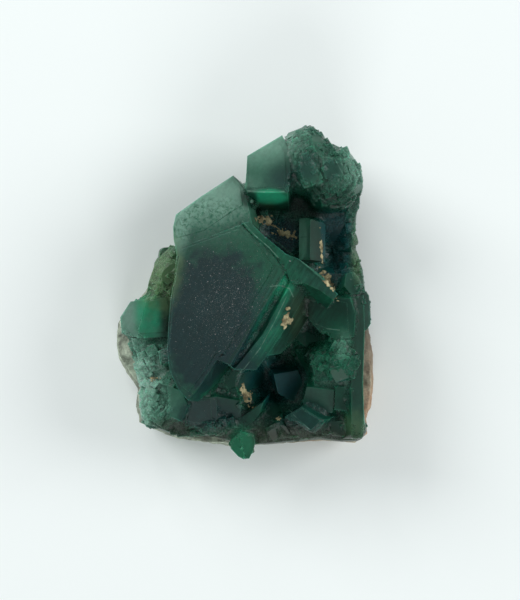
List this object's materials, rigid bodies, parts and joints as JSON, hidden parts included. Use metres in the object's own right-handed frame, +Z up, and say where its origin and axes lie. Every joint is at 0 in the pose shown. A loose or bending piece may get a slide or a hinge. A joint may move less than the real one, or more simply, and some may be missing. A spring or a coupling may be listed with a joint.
{
  "type": "fluorite specimen",
  "caption": "Natural group of green, see-through fluorite crystals grown together on host rock: a large dusty cube face, stepped sides, a dark hollow and a rounded knob of small crystals",
  "frame": {"origin": "middle of the bounding box in X and Y, on the surface the specimen rests on", "axes": "+Z up, away from the rock's flat back and out of the crystal side; +Y along the length towards the knob of small crystals; +X across the width towards the side with the tan rock strip"},
  "size_m": [0.081, 0.1016, 0.0415],
  "materials": {
    "fluorite": "see-through deep green mineral, frosted and dusty on the outer faces, glossy where freshly broken",
    "rock": "dull pale grey-green to tan rock, rough and grainy"
  },
  "bodies": {
    "root": {"fluorite_crystals": "fluorite", "host_rock": "rock"}
  },
  "joints": []
}
